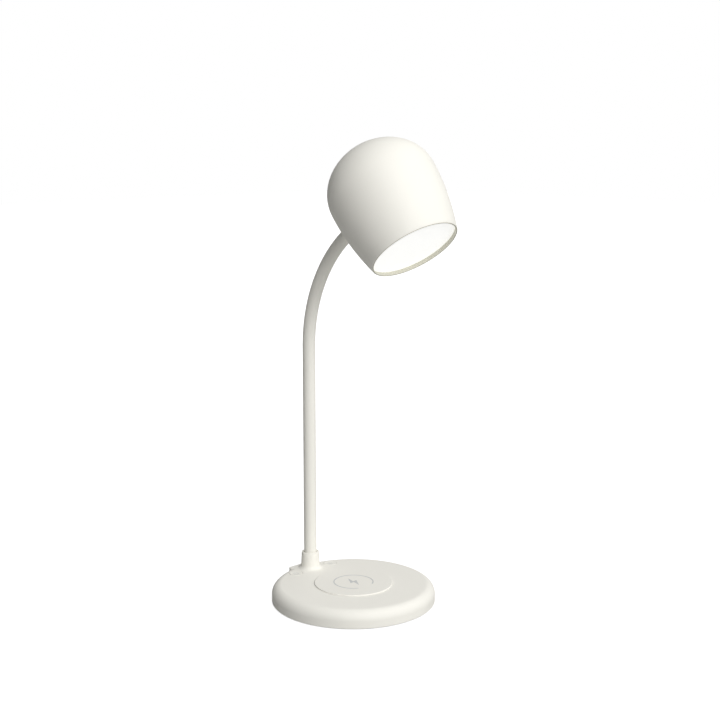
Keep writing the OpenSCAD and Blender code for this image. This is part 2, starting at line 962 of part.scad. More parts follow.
module shade() {
  color(ivory)
    in_head()
      difference() {
        union() {
          difference() {
            shade_outside();
            shade_inside();
          }
          intersection() {
            shade_outside();
            shade_fittings();
          }
          translate([0, shade_r - shade_wall, neck_seat_z])
            rotate([-90, 0, 0])
              round_edged_disc(boss_d / 2, boss_face_w - shade_r + shade_wall, boss_edge_r);
        }
        translate([0, inner_boss_w - 1, neck_seat_z])
          rotate([-90, 0, 0])
            cylinder(h = shade_wall + 10, d = head_stud_d + 2 * stud_gap);
        translate([0, seat_w, neck_seat_z])
          rotate([-90, 0, 0])
            cylinder(h = 10, d = neck_d + 2 * collar_gap);
        for (a = head_post_angles)
          on_circle(head_screw_r, a)
            translate([0, 0, heat_plate_top_z - 1])
              cylinder(h = 1 + head_hole_depth, d = small_screw_d + 2 * screw_hole_gap);
      }
}

// Snap hook on the back of the diffuser, with a slanted nose that catches on the ledge
module diffuser_hook() {
  outer_r = ledge_r - hook_gap;
  nose_z = diffuser_back_z + ledge_t + hook_gap;
  rotate([90, 0, 0])
    linear_extrude(hook_w, center = true)
      polygon([
        [outer_r - hook_t, diffuser_sink + diffuser_t / 2], [outer_r, diffuser_sink + diffuser_t / 2],
        [outer_r, nose_z], [ledge_r + hook_nose, nose_z], [outer_r, hook_top_z], [outer_r - hook_t, hook_top_z]
      ]);
}

module diffuser() {
  color(opal)
    in_head() {
      translate([0, 0, diffuser_sink])
        cylinder(h = diffuser_t, r = inner_r_at(diffuser_sink) - diffuser_gap);
      for (a = hook_angles)
        rotate([0, 0, a])
          diffuser_hook();
    }
}

// White cone between the diffuser and the LED board, notched round the diffuser's hooks
module reflector() {
  low_z = diffuser_back_z + reflector_end_gap;
  high_z = heat_plate_z - reflector_end_gap;
  low_r = ledge_r - reflector_gap;
  high_r = led_board_d / 2 + reflector_gap + reflector_t;
  notch_w = hook_w + 2 * hook_gap;
  color(board_white)
    in_head()
      difference() {
        rotate_extrude()
          polygon([
            [low_r - reflector_t, low_z], [low_r, low_z],
            [high_r, high_z], [high_r - reflector_t, high_z]
          ]);
        for (a = hook_angles)
          rotate([0, 0, a])
            translate([0, -notch_w / 2, diffuser_sink])
              cube([shade_r, notch_w, hook_top_z + hook_gap - diffuser_sink]);
      }
}

module led_board() {
  color(board_white)
    in_head()
      translate([0, 0, board_z])
        cylinder(h = led_board_t, d = led_board_d);
}

module led_ring(r, count) {
  for (i = [0:count - 1])
    on_circle(r, 360 * i / count)
      translate([-led_w / 2, -led_l / 2, board_z - led_t])
        cube([led_w, led_l, led_t]);
}

module leds() {
  color([0.98, 0.90, 0.45])
    in_head() {
      led_ring(inner_led_r, inner_leds);
      led_ring(outer_led_r, outer_leds);
    }
}

module heat_plate() {
  color([0.80, 0.81, 0.83])
    in_head()
      translate([0, 0, heat_plate_z])
        difference() {
          cylinder(h = heat_plate_t, d = heat_plate_d);
          translate([0, 0, -1])
            cylinder(h = heat_plate_t + 2, d = wire_bore_d);
          for (a = head_post_angles)
            on_circle(head_screw_r, a)
              translate([0, 0, -1])
                cylinder(h = heat_plate_t + 2, d = small_screw_d + 2 * screw_hole_gap);
        }
}

module head_screws() {
  color(zinc)
    in_head()
      for (a = head_post_angles)
        on_circle(head_screw_r, a)
          translate([0, 0, heat_plate_z])
            screw(small_screw_d, heat_plate_t + head_screw_bite, small_head_d, small_head_t);
}

// Tube along a flat path in the plane of Y and Z
module wire(path, d) {
  sides = 8;
  last = len(path) - 1;
  rings = [for (i = [0:last])
    let (way = path[min(i + 1, last)] - path[max(i - 1, 0)], up = cross(way / norm(way), [1, 0, 0]))
    for (k = [0:sides - 1])
      path[i] + d / 2 * (cos(360 * k / sides) * [1, 0, 0] + sin(360 * k / sides) * up)];
  walls = [for (i = [0:last - 1], k = [0:sides - 1])
    let (a = i * sides + k, b = i * sides + (k + 1) % sides)
    each [[a, b, a + sides], [b, b + sides, a + sides]]];
  polyhedron(
    points = rings,
    faces = concat([[for (k = [sides - 1:-1:0]) k]], walls, [[for (k = [0:sides - 1]) last * sides + k]])
  );
}

// Wire from the neck's bore to the back of the LED board, bent once
module head_wire() {
  bend_steps = 6;
  path = concat(
    [[0, head_stud_end_w + wire_in_stud, neck_seat_z]],
    [for (i = [0:bend_steps]) let (a = 90 * i / bend_steps)
      [0, wire_bend_r * (1 - sin(a)), neck_seat_z - wire_bend_r * (1 - cos(a))]],
    [[0, 0, heat_plate_z + 0.1]]
  );
  color(black_plastic)
    in_head()
      wire(path, wire_d);
}

// ---- show ----

base_cover();
base_plate();
anti_slip_pad();
ballast();
base_screws();
charging_pad();
charging_coil();
ferrite_sheet();
coil_carrier();
inner_screws();
main_board();
key_switches();
power_inlet();
neck_ferrule();
neck_nut();
neck_foot();
power_key();
dimmer_key();
for (i = [1:LINKS])
  neck_link(i);
neck_tip();
head_ferrule();
head_washer();
head_nut();
shade();
diffuser();
reflector();
led_board();
leds();
heat_plate();
head_screws();
head_wire();
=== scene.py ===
"""Gooseneck desk lamp on a round base with a phone charging pad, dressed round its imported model."""

import json
import math

import bmesh
import bpy
from bpy.props import FloatProperty, FloatVectorProperty, PointerProperty
from mathutils import Matrix, Vector


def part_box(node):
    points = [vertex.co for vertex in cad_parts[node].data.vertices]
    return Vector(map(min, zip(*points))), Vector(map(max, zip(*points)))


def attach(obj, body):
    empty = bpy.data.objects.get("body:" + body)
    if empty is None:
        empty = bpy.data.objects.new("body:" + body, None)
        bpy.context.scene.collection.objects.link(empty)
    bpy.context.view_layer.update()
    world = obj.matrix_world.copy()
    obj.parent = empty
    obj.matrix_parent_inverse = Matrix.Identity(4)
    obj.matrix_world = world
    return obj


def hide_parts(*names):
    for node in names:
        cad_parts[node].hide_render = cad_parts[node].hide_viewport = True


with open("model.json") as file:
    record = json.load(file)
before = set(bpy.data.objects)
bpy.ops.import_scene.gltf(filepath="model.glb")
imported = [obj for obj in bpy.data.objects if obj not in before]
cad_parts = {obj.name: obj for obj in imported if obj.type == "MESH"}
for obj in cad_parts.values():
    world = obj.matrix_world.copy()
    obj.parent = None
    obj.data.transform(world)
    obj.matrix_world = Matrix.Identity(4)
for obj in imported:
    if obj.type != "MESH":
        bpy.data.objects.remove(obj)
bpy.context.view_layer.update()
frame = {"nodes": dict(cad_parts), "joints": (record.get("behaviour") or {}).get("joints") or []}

bl_info = {
    "name": "Gooseneck Desk Lamp",
    "version": (1, 0, 0),
    "blender": (4, 5, 0),
    "location": "View3D > Sidebar > Lamp",
    "description": "Builds the visible pieces, the finishes and the studio of a gooseneck desk lamp",
    "category": "Object",
}

MM = 0.001

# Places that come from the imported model
PAD_TOP_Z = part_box("charging_pad")[1].z
KEY_BOXES = {key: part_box(key) for key in ("power_key", "dimmer_key")}
DIFFUSER_LOW, DIFFUSER_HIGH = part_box("diffuser")
DIFFUSER_MIDDLE = (DIFFUSER_LOW + DIFFUSER_HIGH) / 2
NECK_LOW, NECK_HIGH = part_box("neck_foot")
NECK_D = NECK_HIGH.x - NECK_LOW.x
NECK_JOINTS = [joint for joint in frame["joints"] if joint["name"].startswith("neck_")]
NECK_STATIONS = [Vector(joint["pos_m"]) for joint in NECK_JOINTS]
NECK_BODIES = ["base"] + [f"neck_link_{i}" for i in range(1, len(NECK_JOINTS))] + ["head"]

# The neck's line: upright, then a curve of this radius that starts at this height, then straight
# on into the shade for this length past the last joint
NECK_BEND_R = 133 * MM
NECK_ARC_Z = 230 * MM
NECK_END_LEN = 13 * MM
# Angle of the shade's axis to the vertical
SHADE_TILT = math.radians(38.2)

# The sleeve's pieces meet at the joints: a round end, open in the middle for the wires, in a round
# cup with this clearance, which ends in a small step to the bore
SLEEVE_CLEARANCE = 0.03 * MM
SLEEVE_CUP_STEP = 0.1 * MM
SLEEVE_BALL_TOP = math.radians(28)
# Lengths and counts of the sleeve's faces
SLEEVE_STEP = 1.1 * MM
SLEEVE_SIDES = 48
BALL_ROWS, BALL_BORE_ROWS = 8, 4

# The hollow in the top of a key, and the flat rim round it
KEY_D = 12.5 * MM
KEY_RIM = 1 * MM
KEY_DISH = 0.4 * MM

# Printed rings: first and last angle in degrees, and the count of points from one to the other
CHARGING_RING = (-60, 240, 97)
POWER_RING = (125, 415, 49)
BRIGHTNESS_RING = (0, 350, 36)
# The lightning bolt, from its upper tip, with a height of 1, and its height as a share of the mark
BOLT_OUTLINE = ((0.12, 0.5), (-0.24, -0.06), (-0.03, -0.06), (-0.12, -0.5), (0.24, 0.06), (0.03, 0.06))
BOLT_SHARE = 0.55
# The power mark's bar, and the brightness mark's ring and rays, as shares of the mark's radius
POWER_BAR = (0.25, 0.7, 1.15)
BRIGHTNESS_RING_SHARE = 0.45
RAY_START, RAY_END, RAY_COUNT = 0.8, 1.2, 8
# Steps in the round end of a printed line
LINE_END_STEPS = 8

# Vertices of the shade closer than this are one
WELD_DISTANCE = 0.001 * MM
# Edges are sharp where two faces meet at more than this
SLEEVE_SHARP_ANGLE = math.radians(40)
SHADE_SHARP_ANGLE = math.radians(33)
# Least cosine between a face's normal and the way to the shade's axis, for the lip's wall, and
# between its normal and the way out of the shade, for the rim
LIP_WALL_FACING, LIP_RIM_FACING = 0.5, 0.7

# Camera: where it stands, and the direction from the lamp to it; lens and sensor are in mm
CAMERA_PLACE = Vector((-0.7901, -0.8393, 0.4280))
CAMERA_AZIMUTH = math.radians(-43.57)
CAMERA_PITCH = math.radians(10)
CAMERA_LENS, CAMERA_SENSOR = 65.5, 36
CAMERA_NEAR, CAMERA_FAR = 0.05, 20

# Studio: where the softbox stands, seen from the lamp, and the brightest side of the room's light
LAMP_MIDDLE = Vector((0, 0, 0.2))
SOFTBOX_DISTANCE = 3.2
SOFTBOX_SIZE = 1.6
SOFTBOX_AZIMUTH, SOFTBOX_ELEVATION = math.radians(-19), math.radians(33)
ROOM_AZIMUTH, ROOM_ELEVATION = math.radians(46.4), math.radians(53)
# Light of the room between its brightest and its darkest side, as a share of room_light
ROOM_EVENNESS = 0.3
# The floor's half width, and how far it lies below the lamp
FLOOR_HALF = 6
FLOOR_BELOW = 0.05 * MM
# The floor's own white in the camera's view: less near the lamp, so that its shadow shows
FLOOR_WHITE_NEAR = 0.82
SHADOW_REACH, FLOOR_FADE_END = 0.3, 0.9

WHITE = (1, 1, 1, 1)

# Refractive indices
ABS_IOR, SILICONE_IOR, ACRYLIC_IOR = 1.53, 1.41, 1.49


def linear(hex_colour):
    """Linear red, green and blue of an sRGB hex value such as "#EDEBE3"."""
    channels = [int(hex_colour[i:i + 2], 16) / 255 for i in (1, 3, 5)]
    return tuple(c / 12.92 if c <= 0.04045 else ((c + 0.055) / 1.055) ** 2.4 for c in channels)


# ---- sizes and colours that a user would change ----

class LampSizes(bpy.types.PropertyGroup):
    """Sizes of the pieces that only the visible model has"""

    sleeve_wall: FloatProperty(
        name="Sleeve wall", description="Thickness of the silicone sleeve over the neck",
        default=0.8 * MM, min=0.4 * MM, max=2 * MM, unit="LENGTH")
    ink_thickness: FloatProperty(
        name="Ink thickness", description="How far the printed marks stand above the plastic",
        default=0.03 * MM, min=0.01 * MM, max=0.2 * MM, unit="LENGTH")
    pad_mark_d: FloatProperty(
        name="Charging mark", description="Diameter of the mark printed on the charging pad",
        default=36 * MM, min=10 * MM, max=50 * MM, unit="LENGTH")
    pad_mark_line: FloatProperty(
        name="Charging mark's line", description="Width of the line of the mark on the charging pad",
        default=1.2 * MM, min=0.4 * MM, max=2 * MM, unit="LENGTH")
    key_mark_d: FloatProperty(
        name="Key mark", description="Diameter of the marks printed on the keys",
        default=4.4 * MM, min=2 * MM, max=8 * MM, unit="LENGTH")
    key_mark_line: FloatProperty(
        name="Key mark's line", description="Width of the line of the marks on the keys",
        default=0.4 * MM, min=0.2 * MM, max=0.8 * MM, unit="LENGTH")


class LampColours(bpy.types.PropertyGroup):
    """Colours of the finishes"""

    shell: FloatVectorProperty(
        name="Shell", description="Moulded plastic of the base, the keys and the shade",
        default=linear("#F3F1E9"), size=3, subtype="COLOR", min=0, max=1)
    sleeve: FloatVectorProperty(
        name="Sleeve", description="Silicone sleeve of the neck",
        default=linear("#F1EFE7"), size=3, subtype="COLOR", min=0, max=1)
    # Painted shade: the lip's rim and inner wall are coloured darker than the shell, so that they look shaded
    lip: FloatVectorProperty(
        name="Lip", description="Inner wall and rim of the shade's lip",
        default=linear("#CCCABB"), size=3, subtype="COLOR", min=0, max=1)
    ink: FloatVectorProperty(
        name="Ink", description="Printed marks",
        default=linear("#CDCECD"), size=3, subtype="COLOR", min=0, max=1)
    light: FloatVectorProperty(
        name="Light", description="Lit diffuser",
        default=linear("#FFFFFF"), size=3, subtype="COLOR", min=0, max=1)


class StudioSettings(bpy.types.PropertyGroup):
    """Studio round the lamp"""

    softbox_power: FloatProperty(
        name="Softbox", description="Power of the large light",
        default=60, min=0, unit="POWER")
    room_light: FloatProperty(
        name="Room light", description="Difference between the brightest side of the room and its middle",
        default=0.68, min=0, max=2)
    floor: FloatVectorProperty(
        name="Floor", description="Colour of the floor",
        default=linear("#BABAB9"), size=3, subtype="COLOR", min=0, max=1)


# ---- nodes and materials ----

def fill(tree, node, inputs):
    """Gives inputs of a node their values, or links them to another node's outputs."""
    for name, value in inputs.items():
        if isinstance(value, bpy.types.NodeSocket):
            tree.links.new(value, node.inputs[name])
        else:
            node.inputs[name].default_value = value


def add(tree, kind, inputs=None, **settings):
    """Adds a node with its own settings and its inputs."""
    made = tree.nodes.new(kind)
    for name, value in settings.items():
        setattr(made, name, value)
    fill(tree, made, inputs or {})
    return made


def new_material(name):
    """A material with a shader and an output, and its node tree and shader."""
    material = bpy.data.materials.new(name)
    material.use_nodes = True
    tree = material.node_tree
    tree.nodes.clear()
    shader = add(tree, "ShaderNodeBsdfPrincipled")
    add(tree, "ShaderNodeOutputMaterial", {"Surface": shader.outputs["BSDF"]})
    return material, tree, shader


def grain(tree, size, detail=2.0, stretch=(1, 1, 1)):
    """Noise whose spots are about as wide as size, in metres, over the piece's own coordinates."""
    place = add(tree, "ShaderNodeTexCoord").outputs["Object"]
    mapped = add(tree, "ShaderNodeMapping", {"Vector": place, "Scale": stretch}).outputs["Vector"]
    noise = add(tree, "ShaderNodeTexNoise", {"Vector": mapped, "Scale": 1 / size, "Detail": detail})
    return noise.outputs["Fac"]


def spread(tree, value, low, high):
    """Brings noise from its usual 0.3 to 0.7 to the span from low to high."""
    span = {"Value": value, "From Min": 0.3, "From Max": 0.7, "To Min": low, "To Max": high}
    return add(tree, "ShaderNodeMapRange", span).outputs["Result"]


def shaded(tree, colour, value, depth):
    """The colour, darkened by up to depth where value is low."""
    dark = tuple(c * (1 - depth) for c in colour)
    # Inputs 6 and 7 and output 2 of this node are the ones for colours
    mix = add(tree, "ShaderNodeMix", {"Factor": value, 6: (*dark, 1), 7: (*colour, 1)}, data_type="RGBA")
    return mix.outputs[2]


def bumps(tree, height, strength, depth):
    """Normals of a surface with bumps of this depth, in metres."""
    bump = add(tree, "ShaderNodeBump", {"Strength": strength, "Distance": depth, "Height": height})
    return bump.outputs["Normal"]


def camera_rays(tree):
    """1 for rays that come straight from the camera, and 0 for all others."""
    return add(tree, "ShaderNodeLightPath").outputs["Is Camera Ray"]


def spark_eroded_abs(name, colour):
    """ABS, injection moulded in a spark-eroded mould: a fine even matte grain with a broad soft gloss."""
    material, tree, shader = new_material(name)
    # The real grain is 0.05 mm, too fine to show, so it is drawn at 0.35 mm
    fine = grain(tree, 0.35 * MM, 3)
    flow = grain(tree, 45 * MM)
    fill(tree, shader, {
        "Base Color": shaded(tree, colour, spread(tree, flow, 0.4, 1), 0.012),
        "Roughness": spread(tree, fine, 0.56, 0.66),
        "Normal": bumps(tree, fine, 0.05, 0.05 * MM),
        "IOR": ABS_IOR,
    })
    return material


def extruded_silicone(name, colour):
    """Silicone rubber, extruded as a sleeve: a little duller than ABS, with faint draw lines."""
    material, tree, shader = new_material(name)
    skin = grain(tree, 0.5 * MM, 3)
    draw = grain(tree, 0.6 * MM, 2, (1, 1, 0.03))
    fill(tree, shader, {
        "Base Color": shaded(tree, colour, spread(tree, draw, 0.2, 1), 0.01),
        "Roughness": spread(tree, skin, 0.58, 0.68),
        "Normal": bumps(tree, draw, 0.05, 0.05 * MM),
        "IOR": SILICONE_IOR,
    })
    return material


def pressed_silicone(name, colour):
    """Silicone rubber, pressed to a pad: dark, dull and slightly mottled."""
    material, tree, shader = new_material(name)
    skin = grain(tree, 0.8 * MM, 4)
    fill(tree, shader, {
        "Base Color": shaded(tree, colour, spread(tree, skin, 0, 1), 0.12),
        "Roughness": spread(tree, skin, 0.7, 0.85),
        "Normal": bumps(tree, skin, 0.3, 0.1 * MM),
        "IOR": SILICONE_IOR,
    })
    return material


def lip_painted_shade_abs(name, colour):
    """ABS moulded smooth, with a soft gloss, in a colour darker and warmer than the shell's: painted shade on
    the lip's rim and inner wall.
    """
    material, tree, shader = new_material(name)
    skin = grain(tree, 0.8 * MM)
    fill(tree, shader, {
        "Base Color": shaded(tree, colour, spread(tree, skin, 0.3, 1), 0.015),
        "Roughness": spread(tree, skin, 0.36, 0.42),
        "IOR": ABS_IOR,
    })
    return material


def pad_print(name, colour):
    """Ink, pad printed in one thin layer: a faintly mottled grey."""
    material, tree, shader = new_material(name)
    skin = grain(tree, 0.3 * MM, 3)
    fill(tree, shader, {
        "Base Color": shaded(tree, colour, spread(tree, skin, 0.3, 1), 0.05),
        "Roughness": spread(tree, skin, 0.55, 0.65),
    })
    return material


def lit_opal_acrylic(name, colour):
    """Opal acrylic, moulded and lit from behind: an even white light under a satin skin."""
    material, tree, shader = new_material(name)
    fill(tree, shader, {
        "Base Color": (*linear("#F4F4F0"), 1),
        "Emission Color": (*colour, 1),
        "Emission Strength": 0.52,
        "Roughness": spread(tree, grain(tree, 0.6 * MM), 0.3, 0.36),
        "IOR": ACRYLIC_IOR,
    })
    return material


def worked_metal(name, colour, stretch=(1, 1, 1)):
    """Metal, cut, rolled or drawn, some of it plated: bright, with fine marks, drawn out by stretch."""
    material, tree, shader = new_material(name)
    marks = grain(tree, 0.25 * MM, 3, stretch)
    fill(tree, shader, {
        "Base Color": shaded(tree, colour, spread(tree, marks, 0.2, 1), 0.1),
        "Roughness": spread(tree, marks, 0.22, 0.36),
        "Normal": bumps(tree, marks, 0.1, 0.02 * MM),
        "Metallic": 1.0,
    })
    return material


def filled_plastic(name, colour, roughness=0.5):
    """Plain technical plastic, moulded or coated: mid gloss with a faint mottle."""
    material, tree, shader = new_material(name)
    skin = grain(tree, 0.5 * MM, 3)
    fill(tree, shader, {
        "Base Color": shaded(tree, colour, spread(tree, skin, 0.2, 1), 0.08),
        "Roughness": spread(tree, skin, roughness - 0.05, roughness + 0.05),
        "Normal": bumps(tree, skin, 0.1, 0.03 * MM),
    })
    return material


def finish_nodes(material, *nodes):
    """Puts a material on CAD nodes that stay in view."""
    for name in nodes:
        mesh = frame["nodes"][name].data
        mesh.materials.clear()
        mesh.materials.append(material)


# ---- meshes ----

def new_piece(name, bm, material, body):
    """Turns a bmesh into a piece with a material, which rides on a body."""
    bmesh.ops.recalc_face_normals(bm, faces=bm.faces)
    mesh = bpy.data.meshes.new(name)
    bm.to_mesh(mesh)
    bm.free()
    mesh.materials.append(material)
    piece = bpy.data.objects.new(name, mesh)
    bpy.context.scene.collection.objects.link(piece)
    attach(piece, body)
    return piece


def smooth(mesh, angle):
    """Smooth shading, with a sharp edge wherever two faces meet at more than angle."""
    mesh.polygons.foreach_set("use_smooth", [True] * len(mesh.polygons))
    mesh.set_sharp_from_angle(angle=angle)


def ring(centre, across, up, radius, sides):
    """Points of a circle in the plane of two unit vectors."""
    angles = [2 * math.pi * k / sides for k in range(sides)]
    return [centre + radius * (math.cos(a) * across + math.sin(a) * up) for a in angles]


def bridge(bm, lower, upper):
    """Faces between two closed rings of vertices with the same count."""
    count = len(lower)
    for k in range(count):
        j = (k + 1) % count
        bm.faces.new((lower[k], lower[j], upper[j], upper[k]))


# ---- the neck's line ----

def neck_point(s):
    """Point and heading of the neck's line at the distance s above its lowest joint."""
    straight = NECK_ARC_Z - NECK_STATIONS[0].z
    y = NECK_STATIONS[0].y
    lean = min(max(0, (s - straight) / NECK_BEND_R), math.pi / 2 - SHADE_TILT)
    heading = Vector((0, -math.sin(lean), math.cos(lean)))
    if s <= straight:
        return Vector((0, y, NECK_STATIONS[0].z + s)), heading
    drop = NECK_BEND_R * (1 - math.cos(lean))
    on_arc = Vector((0, y - drop, NECK_ARC_Z + NECK_BEND_R * math.sin(lean)))
    beyond = s - straight - lean * NECK_BEND_R
    return on_arc + max(0, beyond) * heading, heading


def neck_distance(point):
    """Distance along the neck's line of a joint on it."""
    if point.z <= NECK_ARC_Z:
        return point.z - NECK_STATIONS[0].z
    lean = math.asin(min(1, (point.z - NECK_ARC_Z) / NECK_BEND_R))
    return NECK_ARC_Z - NECK_STATIONS[0].z + lean * NECK_BEND_R


def line_rings(start, end, radius):
    """Circles round the neck's line from start to end, as centre, heading and radius."""
    rows = max(2, round(abs(end - start) / SLEEVE_STEP))
    return [(*neck_point(start + (end - start) * row / rows), radius) for row in range(rows + 1)]


def ball_rings(place, radius, low, high, rows):
    """Circles of a ball about the joint at place, between two angles above its middle."""
    centre, heading = neck_point(place)
    angles = [low + (high - low) * row / rows for row in range(rows + 1)]
    return [(centre + heading * radius * math.sin(a), heading, radius * math.cos(a)) for a in angles]


def sleeve_mesh(start, end, wall, joint_below, joint_above):
    """A tube round the neck's line, with a cup over a joint at its start and a ball over one at its end."""
    outer, inner = NECK_D / 2, NECK_D / 2 - wall
    bore_start, cup = start, []
    if joint_below:
        seat = outer + SLEEVE_CLEARANCE
        lip, bore = math.acos(outer / seat), math.acos((inner - SLEEVE_CUP_STEP) / seat)
        cup = ball_rings(start, seat, bore, lip, BALL_ROWS)[:-1]
        bore_start = start + seat * math.sin(bore)
        start += seat * math.sin(lip)
    rings = line_rings(start, end, outer)
    if joint_above:
        rings += ball_rings(end, outer, 0, SLEEVE_BALL_TOP, BALL_ROWS)[1:]
        rings += ball_rings(end, inner, SLEEVE_BALL_TOP, 0, BALL_BORE_ROWS)[:-1]
    rings += line_rings(end, bore_start, inner) + cup
    bm = bmesh.new()
    across = Vector((1, 0, 0))
    rows = [[bm.verts.new(p) for p in ring(centre, across, heading.cross(across), radius, SLEEVE_SIDES)]
            for centre, heading, radius in rings]
    for lower, upper in zip(rows, rows[1:] + rows[:1]):
        bridge(bm, lower, upper)
    return bm


# ---- printed marks ----

def lay_ink(bm, faces, height_at, thickness):
    """Gives flat faces a thickness and lays them on a surface whose height at a point is height_at."""
    top = bmesh.ops.extrude_face_region(bm, geom=faces)["geom"]
    raised = {v for v in top if isinstance(v, bmesh.types.BMVert)}
    for v in bm.verts:
        v.co.z = height_at(v.co) + (thickness if v in raised else -thickness)


def line_faces(bm, points, width, closed=False):
    """Flat faces of a line of a given width through points, with round ends where it is open."""
    count = len(points)
    left, right = [], []
    for i, p in enumerate(points):
        before = points[(i - 1) % count] if closed or i else p
        after = points[(i + 1) % count] if closed or i < count - 1 else p
        way = (after - before).normalized()
        side = Vector((-way.y, way.x, 0)) * width / 2
        left.append(bm.verts.new(p + side))
        right.append(bm.verts.new(p - side))
    faces = []
    for i in range(count if closed else count - 1):
        j = (i + 1) % count
        faces.append(bm.faces.new((left[i], right[i], right[j], left[j])))
    if not closed:
        for end, a, b in ((0, left, right), (-1, right, left)):
            centre, arm = points[end], a[end].co - points[end]
            turns = [Matrix.Rotation(math.pi * k / LINE_END_STEPS, 3, "Z") @ arm + centre
                     for k in range(1, LINE_END_STEPS)]
            faces.append(bm.faces.new([a[end], *[bm.verts.new(p) for p in turns], b[end]]))
    return faces


def arc_points(centre, radius, start, end, count):
    """Points on an arc between two angles in degrees."""
    angles = [math.radians(start + (end - start) * k / (count - 1)) for k in range(count)]
    return [centre + radius * Vector((math.cos(a), math.sin(a), 0)) for a in angles]


def dished_height(key):
    """The middle of a key, and a function for the height at a point of its top, hollowed by a sphere."""
    low, high = KEY_BOXES[key]
    centre = Vector(((low.x + high.x) / 2, (low.y + high.y) / 2, 0))
    hollow_half = KEY_D / 2 - KEY_RIM
    radius = hollow_half ** 2 / (2 * KEY_DISH) + KEY_DISH / 2

    def height_at(point):
        across = Vector((point.x - centre.x, point.y - centre.y)).length
        return high.z - KEY_DISH + radius - math.sqrt(radius ** 2 - across ** 2)

    return centre, height_at


def view_direction(azimuth, elevation):
    """Unit vector from the lamp to a viewer: azimuth 0 is in front of it, at -Y, and 90 degrees at +X."""
    return Vector((math.sin(azimuth) * math.cos(elevation),
                   -math.cos(azimuth) * math.cos(elevation), math.sin(elevation)))


# ---- operators ----

class LAMP_OT_build_stage(bpy.types.Operator):
    """Adds the camera, the floor, the lights and the world"""

    bl_idname = "lamp.build_stage"
    bl_label = "Studio"

    def execute(self, context):
        scene = context.scene
        studio = scene.lamp_studio
        scene.view_settings.view_transform = "Standard"
        self.add_camera(scene)
        self.add_floor(scene, studio)
        self.add_softbox(scene, studio)
        self.add_world(scene, studio)
        return {"FINISHED"}

    def add_camera(self, scene):
        """The camera stands before the lamp, on its -X side, and looks a little down."""
        data = bpy.data.cameras.new("camera")
        data.lens, data.sensor_width = CAMERA_LENS, CAMERA_SENSOR
        data.clip_start, data.clip_end = CAMERA_NEAR, CAMERA_FAR
        camera = bpy.data.objects.new("camera", data)
        camera.location = CAMERA_PLACE
        way = -view_direction(CAMERA_AZIMUTH, CAMERA_PITCH)
        camera.rotation_euler = way.to_track_quat("-Z", "Y").to_euler()
        scene.collection.objects.link(camera)
        scene.camera = camera

    def add_floor(self, scene, studio):
        """A wide floor that is white to the camera, with the lamp's soft shadow left on it."""
        bm = bmesh.new()
        corners = ((-1, -1), (1, -1), (1, 1), (-1, 1))
        bm.faces.new([bm.verts.new((x * FLOOR_HALF, y * FLOOR_HALF, -FLOOR_BELOW)) for x, y in corners])
        mesh = bpy.data.meshes.new("floor")
        bm.to_mesh(mesh)
        bm.free()
        floor = bpy.data.objects.new("floor", mesh)
        scene.collection.objects.link(floor)
        material = bpy.data.materials.new("painted_floor")
        material.use_nodes = True
        tree = material.node_tree
        tree.nodes.clear()
        paint = add(tree, "ShaderNodeBsdfDiffuse", {"Color": (*studio.floor, 1)})
        place = add(tree, "ShaderNodeTexCoord").outputs["Object"]
        away = add(tree, "ShaderNodeVectorMath", {0: place}, operation="LENGTH").outputs["Value"]
        fade = {"Value": away, "From Min": SHADOW_REACH, "From Max": FLOOR_FADE_END,
                "To Min": FLOOR_WHITE_NEAR, "To Max": 1.0}
        white = add(tree, "ShaderNodeMapRange", fade).outputs["Result"]
        shown = add(tree, "ShaderNodeMath", {0: white, 1: camera_rays(tree)}, operation="MULTIPLY").outputs[0]
        glow = add(tree, "ShaderNodeEmission", {"Color": WHITE, "Strength": shown})
        both = add(tree, "ShaderNodeAddShader", {0: paint.outputs[0], 1: glow.outputs[0]})
        add(tree, "ShaderNodeOutputMaterial", {"Surface": both.outputs[0]})
        mesh.materials.append(material)

    def add_softbox(self, scene, studio):
        """One large square softbox, high in front of the lamp."""
        data = bpy.data.lights.new("softbox", "AREA")
        data.shape, data.size, data.energy = "SQUARE", SOFTBOX_SIZE, studio.softbox_power
        light = bpy.data.objects.new("softbox", data)
        way = view_direction(SOFTBOX_AZIMUTH, SOFTBOX_ELEVATION)
        light.location = LAMP_MIDDLE + way * SOFTBOX_DISTANCE
        light.rotation_euler = (-way).to_track_quat("-Z", "Y").to_euler()
        scene.collection.objects.link(light)

    def add_world(self, scene, studio):
        """White in the camera's view; its light is soft and comes most from above and from one side."""
        world = bpy.data.worlds.new("studio")
        world.use_nodes = True
        tree = world.node_tree
        tree.nodes.clear()
        way = add(tree, "ShaderNodeTexCoord").outputs["Generated"]
        brightest = view_direction(ROOM_AZIMUTH, ROOM_ELEVATION)
        facing = add(tree, "ShaderNodeVectorMath", {0: way, 1: brightest}, operation="DOT_PRODUCT")
        evenly = studio.room_light * ROOM_EVENNESS
        strength = add(tree, "ShaderNodeMath",
                       {0: facing.outputs["Value"], 1: studio.room_light, 2: evenly},
                       operation="MULTIPLY_ADD", use_clamp=True).outputs[0]
        soft = add(tree, "ShaderNodeBackground", {"Color": WHITE, "Strength": strength})
        white = add(tree, "ShaderNodeBackground", {"Color": WHITE, "Strength": 1.0})
        mixed = add(tree, "ShaderNodeMixShader",
                    {0: camera_rays(tree), 1: soft.outputs[0], 2: white.outputs[0]})
        add(tree, "ShaderNodeOutputWorld", {"Surface": mixed.outputs[0]})
        scene.world = world


